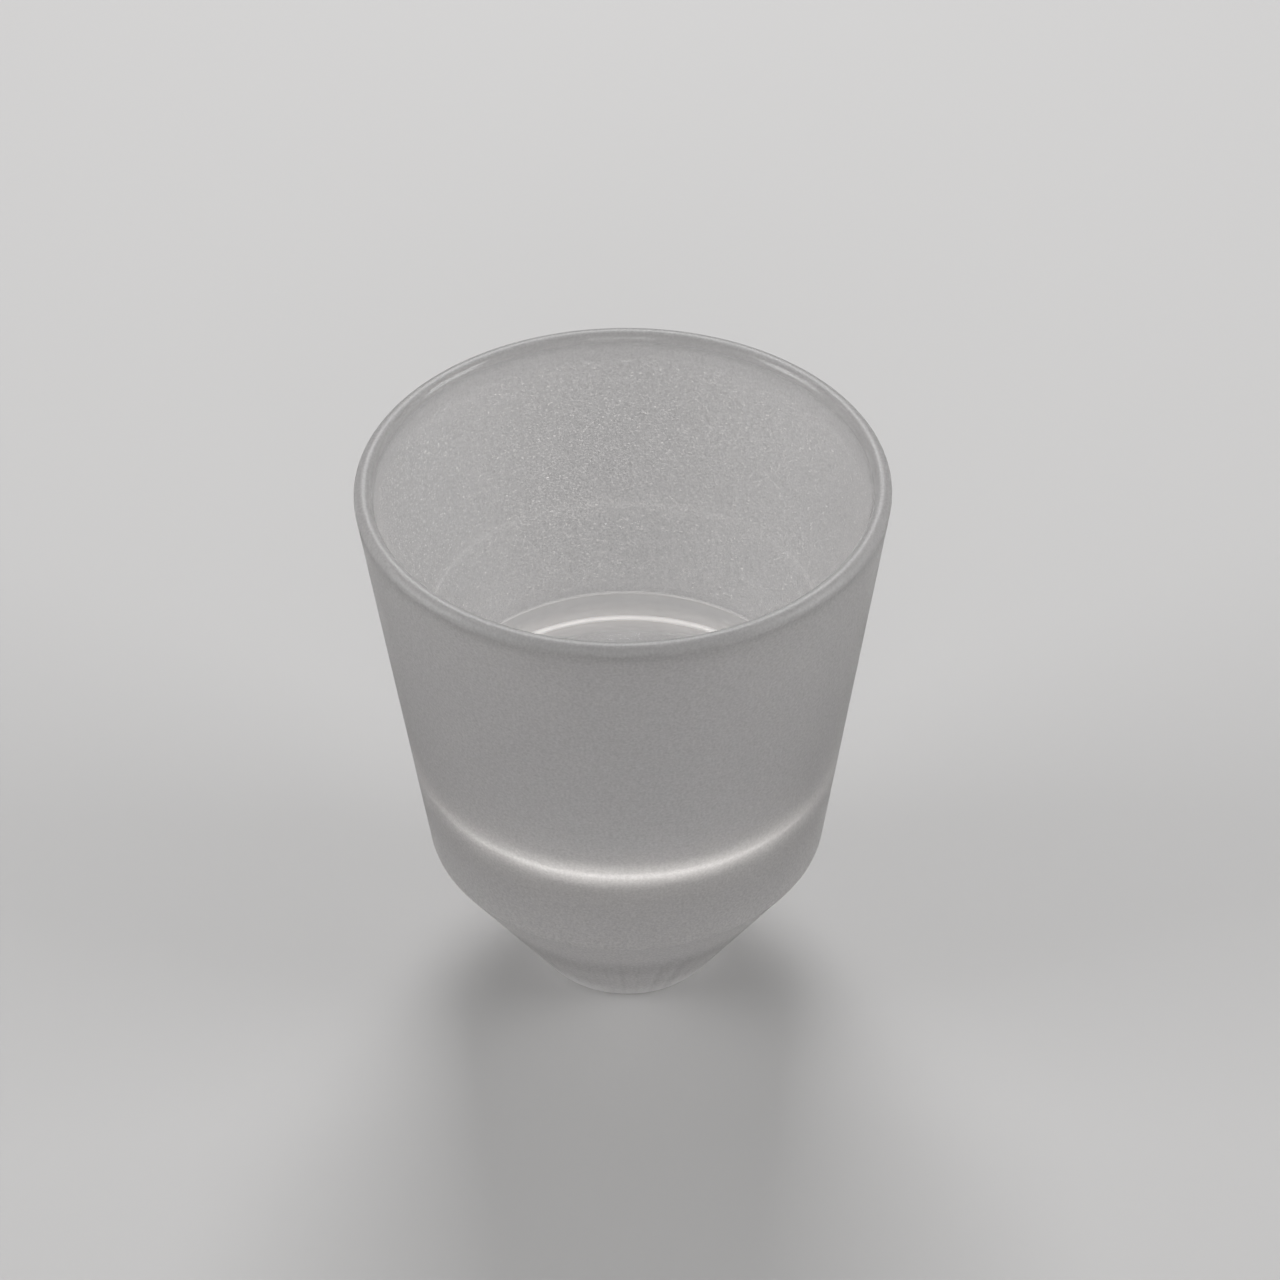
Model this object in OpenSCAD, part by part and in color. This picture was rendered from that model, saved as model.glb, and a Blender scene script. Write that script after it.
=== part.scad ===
// Bathroom tumbler of satin glass, pressed in one piece and round about its upright axis.
// A small foot carries an inverted cone of solid glass. The cone meets the wall at a crisp
// shoulder, and the wall flares on to a rounded rim. Inside, the cup tapers down to a faint
// edge. Below the edge a nearly upright band and a large rounding lead to the cup's flat floor,
// which lies above the shoulder.
// All sizes are in millimetres. The table is at height zero.

/* [Overall] */
// Height from the table to the top of the rim
height = 90; // [84:0.5:110]
// Diameter of the rim at its widest
rim_d = 77; // [72:0.5:90]

/* [Wall] */
// Thickness of the glass just below the rounded rim
rim_wall = 2.6; // [1.8:0.1:3.6]
// Thickness of the glass level with the edge where the cup's taper ends
band_wall = 4.1; // [3.4:0.1:5.5]

/* [Shoulder and cone] */
// Diameter of the corner between the wall and the cone
shoulder_d = 60.7; // [54:0.1:68]
// Height of that corner over the table
shoulder_h = 25.6; // [18:0.1:32]
// Radius that takes the sharpness off that corner
shoulder_round = 0.6; // [0.2:0.1:2]

/* [Foot] */
// Diameter of the foot, where the cone would meet the table
foot_d = 28.4; // [24:0.1:38]
// Radius of the foot's outer edge
foot_round = 0.8; // [0.3:0.1:1.5]
// Width of the flat ring that the glass stands on
bearing_w = 3.2; // [2:0.1:5]
// Depth of the shallow hollow under the foot, in its middle
hollow_depth = 1.2; // [0.5:0.1:2.5]

/* [Cup] */
// Height of the cup's flat floor over the table
floor_h = 35; // [33:0.5:45]
// Height over the cup's floor of the edge where the cup's taper ends
band_rise = 10.8; // [9:0.1:14]
// Slope of the nearly upright band below that edge, in degrees
band_draft = 0.5; // [0:0.1:2]
// Radius between the band and the cup's floor
floor_round = 6.4; // [3:0.1:8]

/* [Hidden] */
$fn = 192;
glass_tint = [0.82, 0.83, 0.84, 0.75];

// The rim is a full round: a circle that both faces of the wall run into
rim_round = rim_wall / 2;
rim_centre = [rim_d / 2 - rim_round, height - rim_round];

// Corners of the half section, as [radius, height]
foot_corner = [foot_d / 2, 0];
shoulder_corner = [shoulder_d / 2, shoulder_h];
outer_touch = touch_point(shoulder_corner, rim_centre, rim_round, -1);
band_h = floor_h + band_rise;
band_corner = [radius_on_line(shoulder_corner, outer_touch, band_h) - band_wall, band_h];
inner_touch = touch_point(band_corner, rim_centre, rim_round, 1);
cup_corner = [band_corner.x - band_rise * tan(band_draft), floor_h];

// Roundings, each as [first touching point, second touching point, centre]
foot_edge = rounding([0, 0], foot_corner, shoulder_corner, foot_round);
shoulder_edge = rounding(foot_corner, shoulder_corner, outer_touch, shoulder_round);
cup_fillet = rounding(band_corner, cup_corner, [0, floor_h], floor_round);

// The hollow under the foot is a shallow dome inside the flat ring
hollow_r = foot_edge[0].x - bearing_w;
hollow_sphere_r = (hollow_r ^ 2 + hollow_depth ^ 2) / (2 * hollow_depth);

// Point where a line from p just touches a circle, on the side given by 1 or -1
function touch_point(p, centre, radius, side) =
    let (
        reach = centre - p,
        turn = atan2(reach.y, reach.x) + side * asin(radius / norm(reach)),
        run = sqrt(reach * reach - radius ^ 2)
    )
    p + run * [cos(turn), sin(turn)];

// Radius of the straight line from a to b at the height h
function radius_on_line(a, b, h) = a.x + (b.x - a.x) * (h - a.y) / (b.y - a.y);

// Rounding of the corner p between the lines to the points a and b
function rounding(a, p, b, radius) =
    let (
        to_a = (a - p) / norm(a - p),
        to_b = (b - p) / norm(b - p),
        half = acos(to_a * to_b) / 2,
        middle = (to_a + to_b) / norm(to_a + to_b)
    )
    [
        p + to_a * radius / tan(half),
        p + to_b * radius / tan(half),
        p + middle * radius / sin(half)
    ];

// Half section of the glass, to the right of the axis
module half_section() {
    difference() {
        union() {
            polygon([
                [0, 0],
                foot_edge[0], foot_edge[1],
                shoulder_edge[0], shoulder_edge[1],
                outer_touch, inner_touch,
                band_corner, cup_fillet[0], cup_fillet[1],
                [0, floor_h]
            ]);
            translate(foot_edge[2]) circle(r = foot_round);
            translate(shoulder_edge[2]) circle(r = shoulder_round);
            translate(rim_centre) circle(r = rim_round);
        }
        translate(cup_fillet[2]) circle(r = floor_round);
        translate([0, hollow_depth - hollow_sphere_r]) circle(r = hollow_sphere_r);
    }
}

module glass() {
    color(glass_tint) rotate_extrude() half_section();
}

glass();
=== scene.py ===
"""Looks of the bathroom tumbler: one turned piece of satin glass, with its floor, light and camera."""

import logging
import math
from dataclasses import dataclass, field
from enum import Enum
from typing import Any, Union

import bmesh
import bpy
from mathutils import Matrix, Vector


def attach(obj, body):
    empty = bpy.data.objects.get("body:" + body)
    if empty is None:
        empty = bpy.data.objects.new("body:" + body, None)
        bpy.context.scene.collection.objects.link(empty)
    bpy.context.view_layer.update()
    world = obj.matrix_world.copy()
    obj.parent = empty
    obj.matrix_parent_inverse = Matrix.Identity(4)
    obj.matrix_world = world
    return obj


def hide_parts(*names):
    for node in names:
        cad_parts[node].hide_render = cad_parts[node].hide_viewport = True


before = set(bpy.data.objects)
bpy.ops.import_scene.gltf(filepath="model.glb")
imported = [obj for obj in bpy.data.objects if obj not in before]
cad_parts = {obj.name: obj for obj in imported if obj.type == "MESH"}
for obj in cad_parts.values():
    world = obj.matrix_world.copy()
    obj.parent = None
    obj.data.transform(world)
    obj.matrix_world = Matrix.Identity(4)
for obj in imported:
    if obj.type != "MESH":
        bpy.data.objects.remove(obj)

log = logging.getLogger("tumbler")

MM = 0.001
GLASS_IOR = 1.52

# The Mix node's sockets for two colours, and its output for a colour
MIX_DARK = 6
MIX_LIGHT = 7
MIX_COLOUR = 2

# Points of the mesh this close to each other are merged, in metres
MERGE = 1e-7
# An edge of the mesh whose ends are this close to a crease lies on it, in metres
ON_CREASE = 1e-6


class Side(Enum):
    """The two faces of the wall, numbered by the side on which a line touches the rim's round."""

    OUTSIDE = -1
    INSIDE = 1


class Value:
    """A number that varies over a surface, so that shader maths reads as a Python expression."""

    def __init__(self, shader: "Shader", socket: bpy.types.NodeSocket) -> None:
        """Wraps one output socket of a node."""
        self.shader = shader
        self.socket = socket

    def _maths(self, operation: str, *numbers: "Number") -> "Value":
        """Adds a Math node.

        Args:
            operation: The node's operation.
            numbers: What goes into its sockets, in order.

        Returns:
            The node's result.
        """
        inputs = dict(enumerate(numbers))
        return self.shader.node("ShaderNodeMath", {"operation": operation}, inputs)

    def __add__(self, other: "Number") -> "Value":
        """Sum."""
        return self._maths("ADD", self, other)

    def __radd__(self, other: "Number") -> "Value":
        """Sum, with the number first."""
        return self._maths("ADD", other, self)

    def __sub__(self, other: "Number") -> "Value":
        """Difference."""
        return self._maths("SUBTRACT", self, other)

    def __rsub__(self, other: "Number") -> "Value":
        """Difference, with the number first."""
        return self._maths("SUBTRACT", other, self)

    def __mul__(self, other: "Number") -> "Value":
        """Product."""
        return self._maths("MULTIPLY", self, other)

    def __rmul__(self, other: "Number") -> "Value":
        """Product, with the number first."""
        return self._maths("MULTIPLY", other, self)


Number = Union[Value, float]
Triple = tuple[float, float, float]
Colour = Triple
BLACK: Colour = (0.0, 0.0, 0.0)
# Keeps a place's X and Y, and drops its height
LEVEL: Triple = (1, 1, 0)


class Shader:
    """The nodes of one material."""

    def __init__(self, name: str) -> None:
        """Makes the material, with nothing in it but its output.

        Args:
            name: The material's name.
        """
        self.material = bpy.data.materials.new(name)
        self.material.use_nodes = True
        self.tree = self.material.node_tree
        self.tree.nodes.remove(self.tree.nodes["Principled BSDF"])

    def node(
        self,
        kind: str,
        settings: dict[str, Any],
        inputs: dict[Any, Any],
        output: Union[int, str] = 0,
    ) -> Value:
        """Adds one node.

        Args:
            kind: The node's type.
            settings: Its properties, set first.
            inputs: A number, colour, vector or Value for each socket that is set.
            output: Which of its outputs is wanted.

        Returns:
            That output.
        """
        made = self.tree.nodes.new(kind)
        for name, setting in settings.items():
            setattr(made, name, setting)
        for name, given in inputs.items():
            self._feed(made.inputs[name], given)
        return Value(self, made.outputs[output])

    def _feed(self, socket: bpy.types.NodeSocket, given: Any) -> None:
        """Links a Value to a socket, or writes a plain number, colour or vector on it.

        Args:
            socket: The socket.
            given: What goes into it.
        """
        if isinstance(given, Value):
            self.tree.links.new(given.socket, socket)
        else:
            socket.default_value = given

    def finish(self, **ends: Value) -> bpy.types.Material:
        """Links the surface, and the volume where there is one, to the output.

        Args:
            ends: The shaders by the names of the output's sockets.

        Returns:
            The finished material.
        """
        for name, given in ends.items():
            self._feed(self.tree.nodes["Material Output"].inputs[name], given)
        return self.material

    def place(self, stretch: Triple = (1, 1, 1)) -> Value:
        """Where a point is on the piece.

        Args:
            stretch: What each of X, Y and Z is multiplied by.

        Returns:
            The place, in metres before it is multiplied.
        """
        place = self.node("ShaderNodeTexCoord", {}, {}, "Object")
        return self.node("ShaderNodeVectorMath", {"operation": "MULTIPLY"}, {0: place, 1: stretch})

    def noise(self, place: Value, grain: float, detail: float = 2.0, roughness: float = 0.5) -> Value:
        """Smooth noise about 0.5.

        Args:
            place: Where it is read.
            grain: Size of its grains, in the unit of place.
            detail: How many finer layers it has.
            roughness: How strong those are.

        Returns:
            The noise, from 0 to 1.
        """
        inputs = {"Vector": place, "Scale": 1 / grain, "Detail": detail, "Roughness": roughness}
        return self.node("ShaderNodeTexNoise", {}, inputs)

    def ramp(self, value: Value, start: float, end: float) -> Value:
        """A soft step.

        Args:
            value: What it depends on.
            start: Where it is still 0.
            end: Where it reaches 1, which may lie below the start.

        Returns:
            The step, from 0 to 1.
        """
        inputs = {"Value": value, "From Min": start, "From Max": end}
        return self.node("ShaderNodeMapRange", {"interpolation_type": "SMOOTHSTEP"}, inputs)

    def shade(self, dark: Colour, light: Colour, share: Value) -> Value:
        """A colour between two.

        Args:
            dark: The colour where the share is 0.
            light: The colour where the share is 1.
            share: How far it is from the one to the other.

        Returns:
            The colour.
        """
        inputs = {0: share, MIX_DARK: (*dark, 1.0), MIX_LIGHT: (*light, 1.0)}
        return self.node("ShaderNodeMix", {"data_type": "RGBA"}, inputs, MIX_COLOUR)

    def height(self) -> Value:
        """How high a point of the piece is, in metres."""
        return self.node("ShaderNodeSeparateXYZ", {}, {0: self.place()}, "Z")

    def depth(self) -> Value:
        """How far behind the axis a point of the piece lies, in metres."""
        return self.node("ShaderNodeSeparateXYZ", {}, {0: self.place()}, "Y")

    def near(self, height: float, half: float, core: float) -> Value:
        """A soft level band.

        Args:
            height: Height of its middle.
            half: How far from the middle it ends.
            core: How far from the middle it is still at its full strength.

        Returns:
            Its strength, from 0 to 1.
        """
        off = self.node("ShaderNodeMath", {"operation": "ABSOLUTE"}, {0: self.height() - height})
        return self.ramp(off, half, core)

    def bump(self, relief: Value) -> Value:
        """Turns a relief, in metres, into the surface's normal."""
        return self.node("ShaderNodeBump", {}, {"Distance": 1.0, "Height": relief}, "Normal")

    def principled(self, colour: Any, roughness: Any, **others: Any) -> Value:
        """Adds a Principled shader.

        Args:
            colour: Its base colour.
            roughness: Its roughness.
            others: Its other sockets by name, with underscores for spaces.

        Returns:
            The shader.
        """
        inputs = {"Base Color": colour, "Roughness": roughness}
        inputs.update({name.replace("_", " "): given for name, given in others.items()})
        return self.node("ShaderNodeBsdfPrincipled", {}, inputs)

    def matt(self, colour: Colour) -> Value:
        """Adds a shader that lets light through and scatters it evenly."""
        return self.node("ShaderNodeBsdfTranslucent", {}, {"Color": (*colour, 1.0)})

    def mix(self, share: Number, first: Value, second: Value) -> Value:
        """A shader between two, with the share of the second one."""
        return self.node("ShaderNodeMixShader", {}, {0: share, 1: first, 2: second})


@dataclass(frozen=True)
class EtchedFace:
    """The satin outside: acid-etched, finely grained and slightly milky.

    The thick base passes more light than the wall: painted light that lightens the base. The cone is a
    little darker than the wall over it, painted shade, with faint upright marks and a darker band half
    way up, painted shade where the dark floor shows through. The rim and the foot's edge are lighter:
    painted highlights from a whitish face, which also lightens the low cone.
    Heights are over the table. A streak is one of the upright marks, and its width is a share of the
    radius.
    """

    colour: Colour = (1.0, 0.985, 0.98)
    wall_share: float = 0.62
    base_top: float = 43 * MM
    base_full: float = 20 * MM
    clearness: float = 0.88
    milkiness: float = 0.42
    roughness: float = 0.47
    roughness_sway: float = 0.08
    cloud: float = 14 * MM
    grain: float = 0.38 * MM
    grain_depth: float = 0.008 * MM
    speckle: float = 0.55
    cone_top: float = 25.6 * MM
    cone_edge: float = 0.5 * MM
    cone_shade: float = 0.09
    streak: float = 0.09
    streak_start: float = 0.45
    streak_full: float = 0.75
    mark_top: float = 20 * MM
    mark_full: float = 7 * MM
    mark_depth: float = 0.02 * MM
    mark_shade: float = 0.12
    shade_band_h: float = 14 * MM
    shade_band_half: float = 6 * MM
    shade_band_share: float = 0.12
    white: Colour = (0.9, 0.89, 0.89)
    white_roughness: float = 0.3
    rim_start: float = 88.0 * MM
    rim_full: float = 89.4 * MM
    rim_highlight: float = 0.14
    foot_start: float = 7.0 * MM
    foot_highlight: float = 0.45

    def surface(self, shader: Shader) -> Value:
        """Adds the etched face to a material.

        Args:
            shader: The material's nodes.

        Returns:
            The face's shader.
        """
        clouds = shader.noise(shader.place(), self.cloud, detail=3.0)
        fine = shader.noise(shader.place(), self.grain, roughness=0.6)
        marks = self._marks(shader)
        passed = self._passed(shader, fine, marks)
        glassy = shader.principled(
            shader.shade(BLACK, self.colour, passed),
            self.roughness + (clouds + fine - 1.0) * self.roughness_sway,
            Normal=shader.bump(fine * self.grain_depth + marks * self.mark_depth),
            IOR=GLASS_IOR,
            Transmission_Weight=self.clearness,
        )
        milky = shader.mix(passed, shader.matt(BLACK), shader.matt(self.colour))
        # Painted highlights: a whitish face over the rim, and over the foot's edge and the low cone.
        rim = shader.ramp(shader.height(), self.rim_start, self.rim_full) * self.rim_highlight
        foot = shader.ramp(shader.height(), self.foot_start, 0.0) * self.foot_highlight
        white = shader.principled((*self.white, 1.0), self.white_roughness)
        return shader.mix(rim + foot, shader.mix(self.milkiness, glassy, milky), white)

    def _passed(self, shader: Shader, fine: Value, marks: Value) -> Value:
        """How much light gets through, with painted light on the base and painted shade on the cone.

        Args:
            shader: The material's nodes.
            fine: The grain.
            marks: The upright marks.

        Returns:
            The share, from 0 to 1.
        """
        # Painted light: from base_top down, the glass is coloured lighter than the wall.
        base = shader.ramp(shader.height(), self.base_top, self.base_full)
        # Painted shade: the cone below the crease is coloured darker than the wall.
        cone = shader.ramp(shader.height(), self.cone_top + self.cone_edge, self.cone_top - self.cone_edge)
        # Painted shade: a darker band half way up the cone, where the dark floor shows through.
        shade_band = shader.near(self.shade_band_h, self.shade_band_half, 0.0)
        left = 1.0 - fine * self.speckle - marks * self.mark_shade
        left = left - cone * self.cone_shade - shade_band * self.shade_band_share
        return left * (self.wall_share + base * (1 - self.wall_share))

    def _marks(self, shader: Shader) -> Value:
        """Fine upright marks left by the press round the cone, strongest at the foot.

        Args:
            shader: The material's nodes.

        Returns:
            Their height, from 0 to 1.
        """
        settings = {"operation": "NORMALIZE"}
        outward = shader.node("ShaderNodeVectorMath", settings, {0: shader.place(LEVEL)})
        streaks = shader.noise(outward, self.streak, roughness=0.6)
        streaks = shader.ramp(streaks, self.streak_start, self.streak_full)
        return streaks * shader.ramp(shader.height(), self.mark_top, self.mark_full)


@dataclass(frozen=True)
class ClearFace:
    """The inside: clear and smooth, with faint marks of wiping painted as bright glints, and a painted
    glow low in the cup.

    The cup's edge shows as a faint line, a painted highlight, with a band below it that is painted a
    little brighter with the ring's glow. A ring lies where the cup's rounding starts. The real one
    focuses light as a lens does. Here it is matt instead, with a thin bright core: a painted glow, and
    the colours above 1 stand for the light it gathers. It is strongest at the front, where the light
    from behind falls on the inside of the wall, and fainter at the sides and the back. Heights are over
    the table. A line or ring reaches half its width up and down, and is at its full strength where it
    is flat.
    """

    colour: Colour = (0.97, 0.965, 0.97)
    roughness: float = 0.03
    roughness_sway: float = 0.02
    wave: float = 3 * MM
    wave_depth: float = 0.004 * MM
    wipe_glint_grain: float = 0.4 * MM
    wipe_glint_squash: Triple = (1, 1, 3)
    wipe_glint_start: float = 0.52
    wipe_glint_full: float = 0.72
    wipe_glint_share: float = 0.18
    wipe_glint_top: float = 85 * MM
    wipe_glint_fade: float = 2 * MM
    edge_h: float = 45.8 * MM
    edge_highlight_half: float = 0.35 * MM
    edge_highlight_flat: float = 0.105 * MM
    edge_highlight_share: float = 0.07
    band_edge: float = 0.3 * MM
    band_glow_share: float = 0.22
    ring_h: float = 40.7 * MM
    ring_half: float = 3.5 * MM
    ring_flat: float = 0.35 * MM
    ring_share: float = 0.95
    ring_colour: Colour = (1.4, 1.37, 1.34)
    core_half: float = 0.6 * MM
    core_flat: float = 0.12 * MM
    core_share: float = 0.7
    core_colour: Colour = (5.0, 4.9, 4.8)
    spark: float = 0.3 * MM
    sparkle: float = 0.6
    glow_front_start: float = -8 * MM
    glow_front_full: float = -26 * MM
    back_glow_share: float = 0.42

    def surface(self, shader: Shader) -> Value:
        """Adds the clear face to a material.

        Args:
            shader: The material's nodes.

        Returns:
            The face's shader.
        """
        waves = shader.noise(shader.place(), self.wave)
        glassy = shader.principled(
            (*self.colour, 1.0),
            self.roughness + waves * self.roughness_sway,
            Normal=shader.bump(waves * self.wave_depth),
            IOR=GLASS_IOR,
            Transmission_Weight=1.0,
        )
        # Painted light: the ring glows most at the front, where the light from behind falls on the inside
        # of the wall.
        front = shader.ramp(shader.depth(), self.glow_front_start, self.glow_front_full)
        front = front * (1 - self.back_glow_share) + self.back_glow_share
        ring = shader.near(self.ring_h, self.ring_half, self.ring_flat) * front
        # Painted light: the band under the cup's edge glows a little with the ring's colour.
        band = shader.ramp(shader.height(), self.edge_h + self.band_edge, self.edge_h - self.band_edge)
        band = band * shader.ramp(shader.height(), self.ring_h - self.ring_half, self.ring_h)
        glow_share = ring * self.ring_share + band * self.band_glow_share
        pale = shader.mix(glow_share, glassy, shader.matt(self.ring_colour))
        return shader.mix(self._bright(shader, front), pale, shader.matt(self.core_colour))

    def _bright(self, shader: Shader, front: Value) -> Value:
        """Where the face glows with painted light: the ring's core, a painted highlight on the cup's edge,
        and marks of wiping painted as bright glints.

        Args:
            shader: The material's nodes.
            front: How strong the ring's painted glow is, which changes round the axis.

        Returns:
            The share of bright specks and lines, from 0 to 1.
        """
        sparks = shader.noise(shader.place(), self.spark, detail=1.0)
        core = shader.near(self.ring_h, self.core_half, self.core_flat) * (1.0 - sparks * self.sparkle)
        # Painted highlight: a thin glowing line along the cup's edge.
        edge = shader.near(self.edge_h, self.edge_highlight_half, self.edge_highlight_flat)
        # Painted glints: marks of wiping that glow with the core's colour.
        wipe_glints = shader.noise(shader.place(self.wipe_glint_squash), self.wipe_glint_grain, roughness=0.6)
        wipe_glints = shader.ramp(wipe_glints, self.wipe_glint_start, self.wipe_glint_full)
        wipe_glints = wipe_glints * shader.ramp(shader.height(), self.edge_h, self.edge_h + self.wipe_glint_fade)
        wipe_glints = wipe_glints * shader.ramp(shader.height(), self.wipe_glint_top + self.wipe_glint_fade, self.wipe_glint_top)
        return core * front * self.core_share + edge * self.edge_highlight_share + wipe_glints * self.wipe_glint_share


@dataclass(frozen=True)
class SatinGlass:
    """The one material: etched outside, clear inside, and a little grey where the glass is thick.

    The inside starts a little way in from the middle of the wall, and above the thick base. Over the
    rim it fades to a share. Its heights there are counted from the middle of the rim's round.
    """

    etched: EtchedFace = EtchedFace()
    clear: ClearFace = ClearFace()
    soak: float = 1.5
    soak_colour: Colour = (0.10, 0.08, 0.07)
    inside_start: float = 0.7 * MM
    inside_full: float = 1.3 * MM
    base_start: float = 28 * MM
    base_full: float = 34 * MM
    rim_start: float = -1.5 * MM
    rim_full: float = 0.5 * MM
    rim_share: float = 0.5

    def material(self, band: Vector, rim: Vector) -> bpy.types.Material:
        """Makes the material.

        Args:
            band: A point in the middle of the wall, low in the cup.
            rim: The point in the middle of the wall at the rim.

        Returns:
            The material.
        """
        shader = Shader("satin_glass")
        inner = self._inner(shader, band, rim)
        surface = shader.mix(inner, self.etched.surface(shader), self.clear.surface(shader))
        depth = {"Color": (*self.soak_colour, 1.0), "Density": self.soak}
        volume = shader.node("ShaderNodeVolumeAbsorption", {}, depth)
        return shader.finish(Surface=surface, Volume=volume)

    def _inner(self, shader: Shader, band: Vector, rim: Vector) -> Value:
        """How far a point belongs to the inside, with a soft change over the rounded rim.

        Args:
            shader: The material's nodes.
            band: A point in the middle of the wall, low in the cup.
            rim: The point in the middle of the wall at the rim.

        Returns:
            The share, from 0 outside to 1 inside.
        """
        height = shader.height()
        settings = {"operation": "LENGTH"}
        radius = shader.node("ShaderNodeVectorMath", settings, {0: shader.place(LEVEL)}, "Value")
        slope = (rim.x - band.x) / (rim.z - band.z)
        middle = band.x + (height - band.z) * slope
        inside = shader.ramp(middle - radius, self.inside_start, self.inside_full)
        inside = inside * shader.ramp(height, self.base_start, self.base_full)
        over_rim = shader.ramp(height, rim.z + self.rim_start, rim.z + self.rim_full)
        return inside * (1.0 - over_rim * (1 - self.rim_share))


@dataclass(frozen=True)
class TumblerSizes:
    """Sizes of the solid glass, in metres, with its one slope in degrees."""

    height: float = 90 * MM
    rim_d: float = 77 * MM
    rim_wall: float = 2.6 * MM
    band_wall: float = 4.1 * MM
    shoulder_d: float = 60.7 * MM
    shoulder_h: float = 25.6 * MM
    shoulder_round: float = 0.6 * MM
    foot_d: float = 28.4 * MM
    foot_round: float = 0.8 * MM
    bearing_w: float = 3.2 * MM
    hollow_depth: float = 1.2 * MM
    floor_h: float = 35 * MM
    band_rise: float = 10.8 * MM
    band_draft: float = 0.5
    floor_round: float = 6.4 * MM


def upright(radius: float, height: float) -> Vector:
    """A point of the half section, which lies in the plane of X and Z."""
    return Vector((radius, 0.0, height))


def touch_point(start: Vector, centre: Vector, radius: float, side: Side) -> Vector:
    """Where a line from a point just touches a circle.

    Args:
        start: The point.
        centre: The circle's centre.
        radius: The circle's radius.
        side: Which face of the wall the line belongs to.

    Returns:
        The touching point.
    """
    reach = centre - start
    turn = math.atan2(reach.z, reach.x) + side.value * math.asin(radius / reach.length)
    run = math.sqrt(reach.length_squared - radius**2)
    return start + run * upright(math.cos(turn), math.sin(turn))


@dataclass(frozen=True)
class Rounding:
    """A rounded corner: where it starts, where it ends and the centre of its arc."""

    start: Vector
    end: Vector
    centre: Vector

    @classmethod
    def of(cls, before: Vector, corner: Vector, after: Vector, radius: float) -> "Rounding":
        """The rounding of a corner between the lines to the points before and after it.

        Args:
            before: A point on the line that comes in.
            corner: The sharp corner.
            after: A point on the line that goes out.
            radius: The radius of the rounding.

        Returns:
            The rounding.
        """
        back = (before - corner).normalized()
        on = (after - corner).normalized()
        half = back.angle(on) / 2
        run = radius / math.tan(half)
        middle = (back + on).normalized()
        return cls(corner + back * run, corner + on * run, corner + middle * radius / math.sin(half))


class Outline:
    """A stretch of the half section: drawn by growing a vertex, then turned about the upright axis."""

    def __init__(self, form: bmesh.types.BMesh, start: Vector) -> None:
        """Starts at a point.

        Args:
            form: Where the glass is made.
            start: The point.
        """
        self.form = form
        self.edges: list[bmesh.types.BMEdge] = []
        self.creases: list[Vector] = []
        self.pen = bmesh.ops.create_vert(form, co=start)["vert"][0]

    def _grow(self) -> list[bmesh.types.BMVert]:
        """Adds an edge at the end of the stretch.

        Returns:
            Its new point, to be moved.
        """
        grown = bmesh.ops.extrude_vert_indiv(self.form, verts=[self.pen])
        self.edges += grown["edges"]
        self.pen = grown["verts"][0]
        return grown["verts"]

    def line(self, end: Vector, rows: int) -> "Outline":
        """Draws a straight line.

        Args:
            end: Where it ends.
            rows: How many edges it has, shorter towards both ends.

        Returns:
            The outline itself.
        """
        start = self.pen.co.copy()
        for row in range(1, rows + 1):
            share = (1 - math.cos(math.pi * row / rows)) / 2
            step = start.lerp(end, share) - self.pen.co
            bmesh.ops.translate(self.form, verts=self._grow(), vec=step)
        return self

    def arc(self, rounding: Rounding, rows: int) -> "Outline":
        """Draws the arc of a rounding, from its start to its end.

        Args:
            rounding: The rounding.
            rows: How many edges the arc has.

        Returns:
            The outline itself.
        """
        first = rounding.start - rounding.centre
        last = rounding.end - rounding.centre
        sweep = math.atan2(last.z, last.x) - math.atan2(first.z, first.x)
        sweep = (sweep + math.pi) % math.tau - math.pi
        step = Matrix.Rotation(-sweep / rows, 3, "Y")
        for _ in range(rows):
            bmesh.ops.rotate(self.form, verts=self._grow(), cent=rounding.centre, matrix=step)
        return self

    def crease(self) -> "Outline":
        """Keeps the corner at the end of the stretch from being smoothed over.

        Returns:
            The outline itself.
        """
        self.creases.append(self.pen.co.copy())
        return self

    def _on_crease(self, point: bmesh.types.BMVert) -> bool:
        """Whether a turned point lies on a crease."""
        unturned = upright(math.hypot(*point.co.xy), point.co.z)
        return any((unturned - crease).length < ON_CREASE for crease in self.creases)

    def turn(self, sides: int) -> None:
        """Turns the stretch a quarter round the axis, into faces that are smooth but for the creases.

        Args:
            sides: How many faces there are in the quarter.
        """
        points = dict.fromkeys(point for edge in self.edges for point in edge.verts)
        bmesh.ops.spin(
            self.form,
            geom=[*points, *self.edges],
            cent=(0, 0, 0),
            axis=(0, 0, 1),
            angle=math.pi / 2,
            steps=sides,
        )
        for face in self.form.faces:
            face.smooth = True
        for edge in self.form.edges:
            edge.smooth = not all(self._on_crease(point) for point in edge.verts)


@dataclass(frozen=True)
class SectionRows:
    """How many edges each stretch of the half section has, from under the foot to the cup's floor."""

    hollow: int = 16
    bearing: int = 6
    foot_edge: int = 10
    cone: int = 22
    shoulder: int = 8
    wall: int = 44
    rim: int = 40
    cup: int = 32
    band: int = 8
    fillet: int = 28
    floor: int = 18


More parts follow.
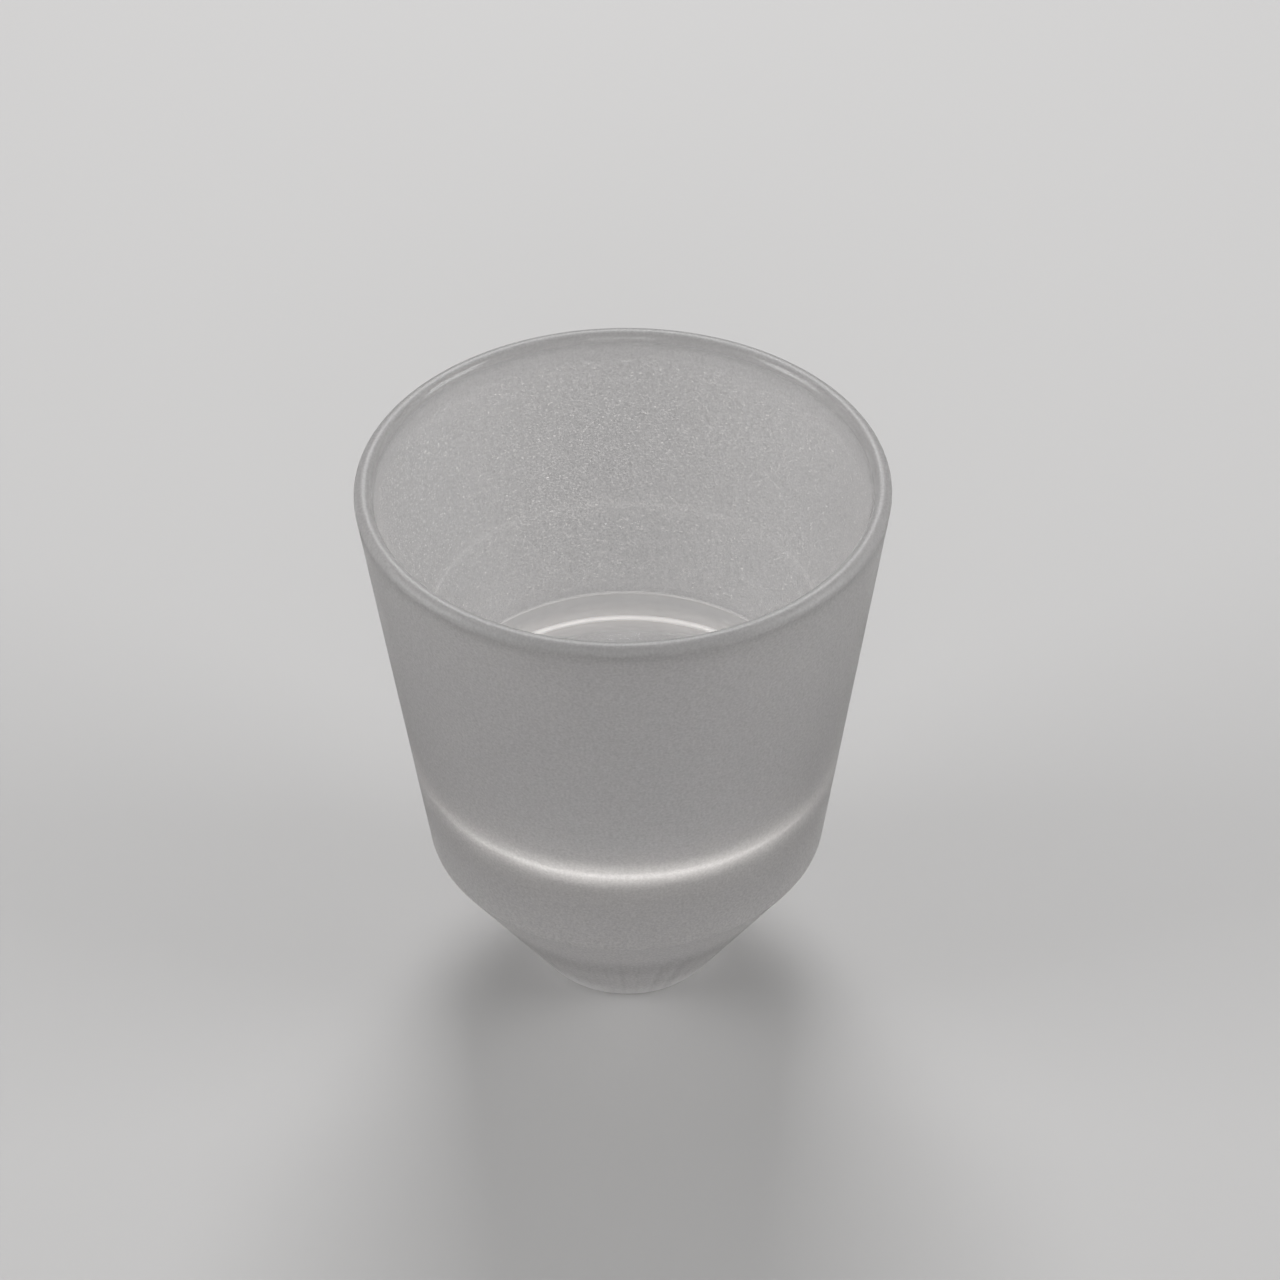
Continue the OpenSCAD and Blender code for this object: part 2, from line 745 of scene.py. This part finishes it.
@dataclass
class Tumbler:
    """The tumbler: one solid piece of glass, turned from its half section."""

    sizes: TumblerSizes = field(default_factory=TumblerSizes)
    rows: SectionRows = field(default_factory=SectionRows)
    finish: SatinGlass = field(default_factory=SatinGlass)
    quarter_sides: int = 64

    def build(self) -> bpy.types.Object:
        """Makes the glass, dresses it and puts it in the place of its solid.

        Returns:
            The finished piece.
        """
        mesh = bpy.data.meshes.new("satin_tumbler")
        form = bmesh.new()
        band, rim = self._turn_section(form)
        self._close(form)
        form.to_mesh(mesh)
        form.free()
        mesh.materials.append(self.finish.material(band, rim))
        piece = bpy.data.objects.new("satin_tumbler", mesh)
        bpy.context.scene.collection.objects.link(piece)
        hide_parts("glass")
        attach(piece, "root")
        return piece

    def _turn_section(self, form: bmesh.types.BMesh) -> tuple[Vector, Vector]:
        """Draws the half section from the hollow under the foot to the cup's floor, and turns it.

        Args:
            form: Where the glass is made.

        Returns:
            Two points in the middle of the wall: at the cup's band and at the rim.
        """
        size = self.sizes
        rim_round = size.rim_wall / 2
        rim_centre = upright(size.rim_d / 2 - rim_round, size.height - rim_round)
        foot = upright(size.foot_d / 2, 0)
        shoulder = upright(size.shoulder_d / 2, size.shoulder_h)
        outer_touch = touch_point(shoulder, rim_centre, rim_round, Side.OUTSIDE)
        band_h = size.floor_h + size.band_rise
        up_wall = (band_h - shoulder.z) / (outer_touch.z - shoulder.z)
        band = upright(shoulder.lerp(outer_touch, up_wall).x - size.band_wall, band_h)
        inner_touch = touch_point(band, rim_centre, rim_round, Side.INSIDE)
        band_run = size.band_rise * math.tan(math.radians(size.band_draft))
        cup_corner = upright(band.x - band_run, size.floor_h)
        floor_middle = upright(0, size.floor_h)
        foot_edge = Rounding.of(upright(0, 0), foot, shoulder, size.foot_round)
        shoulder_edge = Rounding.of(foot, shoulder, outer_touch, size.shoulder_round)
        rim_edge = Rounding(outer_touch, inner_touch, rim_centre)
        fillet = Rounding.of(band, cup_corner, floor_middle, size.floor_round)
        hollow_r = foot_edge.start.x - size.bearing_w
        dome_r = (hollow_r**2 + size.hollow_depth**2) / (2 * size.hollow_depth)
        dome_centre = upright(0, size.hollow_depth - dome_r)
        hollow = Rounding(upright(0, size.hollow_depth), upright(hollow_r, 0), dome_centre)

        rows = self.rows
        section = Outline(form, hollow.start).arc(hollow, rows.hollow)
        section.line(foot_edge.start, rows.bearing).arc(foot_edge, rows.foot_edge)
        section.line(shoulder_edge.start, rows.cone).arc(shoulder_edge, rows.shoulder)
        section.line(outer_touch, rows.wall).arc(rim_edge, rows.rim)
        section.line(band, rows.cup).crease().line(fillet.start, rows.band)
        section.arc(fillet, rows.fillet).line(floor_middle, rows.floor)
        section.turn(self.quarter_sides)
        return band + upright(size.band_wall / 2, 0), rim_centre

    def _close(self, form: bmesh.types.BMesh) -> None:
        """Mirrors the quarter into the whole glass, closes it and points its faces outwards.

        Args:
            form: Where the glass is made.
        """
        bmesh.ops.remove_doubles(form, verts=form.verts, dist=MERGE)
        for axis in ("X", "Y"):
            parts = [*form.verts, *form.edges, *form.faces]
            bmesh.ops.mirror(form, geom=parts, merge_dist=MERGE, axis=axis)
        bmesh.ops.remove_doubles(form, verts=form.verts, dist=MERGE)
        bmesh.ops.recalc_face_normals(form, faces=form.faces)


@dataclass(frozen=True)
class SoftBox:
    """A soft lamp: a glowing rectangle that faces the tumbler, with its sizes in metres.

    Its angles are in degrees. Its azimuth is 0 behind the tumbler and 90 on the right of it.
    """

    name: str
    azimuth: float
    elevation: float
    distance: float
    width: float
    length: float
    watts: float

    def hang(self, aim: Vector) -> bpy.types.Object:
        """Hangs the lamp.

        Args:
            aim: The point that it faces.

        Returns:
            The lamp.
        """
        lamp = bpy.data.lights.new(self.name, "AREA")
        lamp.shape = "RECTANGLE"
        lamp.size = self.width
        lamp.size_y = self.length
        lamp.energy = self.watts
        made = bpy.data.objects.new(self.name, lamp)
        azimuth = math.radians(self.azimuth)
        elevation = math.radians(self.elevation)
        level = Vector((math.sin(azimuth), math.cos(azimuth), 0)) * math.cos(elevation)
        outward = level + upright(0, math.sin(elevation))
        made.location = aim + outward * self.distance
        made.rotation_euler = (-outward).to_track_quat("-Z", "Y").to_euler()
        bpy.context.scene.collection.objects.link(made)
        return made


@dataclass(frozen=True)
class Camera:
    """The camera, placed by where the middle of the foot lies in front of it.

    Its sensor and lens are in millimetres, and its angles in degrees.
    """

    sensor: float = 36
    lens: float = 101.26
    elevation: float = 39.629
    roll: float = -0.4706
    foot_right: float = -2.272 * MM
    foot_up: float = -46.158 * MM
    foot_ahead: float = 572.09 * MM

    def place(self) -> bpy.types.Object:
        """Makes the camera and gives the scene to it.

        Returns:
            The camera.
        """
        elevation = math.radians(self.elevation)
        ahead = Vector((0, math.cos(elevation), -math.sin(elevation)))
        right = Vector((1, 0, 0))
        up = right.cross(ahead)
        eye = -(right * self.foot_right + up * self.foot_up + ahead * self.foot_ahead)
        lens = bpy.data.cameras.new("camera")
        lens.sensor_width = self.sensor
        lens.lens = self.lens
        made = bpy.data.objects.new("camera", lens)
        axes = Matrix((right, up, -ahead)).transposed().to_4x4()
        roll = Matrix.Rotation(math.radians(self.roll), 4, "Z")
        made.matrix_world = Matrix.Translation(eye) @ axes @ roll
        bpy.context.scene.collection.objects.link(made)
        bpy.context.scene.camera = made
        return made


@dataclass
class Studio:
    """The pale floor, the soft lamps, the even light all round and the camera."""

    floor_half: float = 4.0
    floor_grain: float = 2 * MM
    floor_colour: Colour = (0.47, 0.465, 0.463)
    floor_roughness: float = 0.7
    floor_sway: float = 0.1
    floor_gloss: float = 0.25
    surround: Colour = (0.26, 0.26, 0.26)
    boxes: tuple[SoftBox, ...] = (
        SoftBox("rear_box", azimuth=0, elevation=48, distance=0.9, width=0.4, length=0.4, watts=5.8),
        SoftBox("front_box", azimuth=180, elevation=20, distance=1.2, width=0.6, length=0.6, watts=2.5),
        SoftBox("left_box", azimuth=-100, elevation=20, distance=1.0, width=0.5, length=0.7, watts=6.0),
        SoftBox("right_box", azimuth=100, elevation=20, distance=1.0, width=0.5, length=0.7, watts=6.0),
    )
    aim_h: float = 40 * MM
    camera: Camera = field(default_factory=Camera)

    def build(self) -> None:
        """Lays the floor, hangs the lamps and places the camera."""
        self._lay_floor()
        for box in self.boxes:
            box.hang(upright(0, self.aim_h))
        self._light_surround()
        self.camera.place()
        bpy.context.scene.view_settings.view_transform = "Standard"

    def _lay_floor(self) -> None:
        """Lays a wide plain floor at height zero."""
        form = bmesh.new()
        bmesh.ops.create_grid(form, x_segments=1, y_segments=1, size=self.floor_half)
        mesh = bpy.data.meshes.new("pale_floor")
        form.to_mesh(mesh)
        form.free()
        floor = bpy.data.objects.new("pale_floor", mesh)
        bpy.context.scene.collection.objects.link(floor)
        shader = Shader("pale_floor")
        soft = shader.noise(shader.place(), self.floor_grain)
        surface = shader.principled(
            (*self.floor_colour, 1.0),
            soft * self.floor_sway + self.floor_roughness,
            Specular_IOR_Level=self.floor_gloss,
        )
        mesh.materials.append(shader.finish(Surface=surface))

    def _light_surround(self) -> None:
        """Gives the world one even pale colour."""
        world = bpy.data.worlds.new("surround")
        world.use_nodes = True
        world.node_tree.nodes["Background"].inputs["Color"].default_value = (*self.surround, 1.0)
        bpy.context.scene.world = world


def main() -> None:
    """Builds the tumbler and its studio, and logs how many faces the tumbler has."""
    logging.basicConfig(level=logging.INFO, format="%(message)s")
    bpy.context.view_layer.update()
    piece = Tumbler().build()
    log.info("%s: %d faces", piece.name, len(piece.data.polygons))
    Studio().build()


if __name__ == "__main__":
    main()
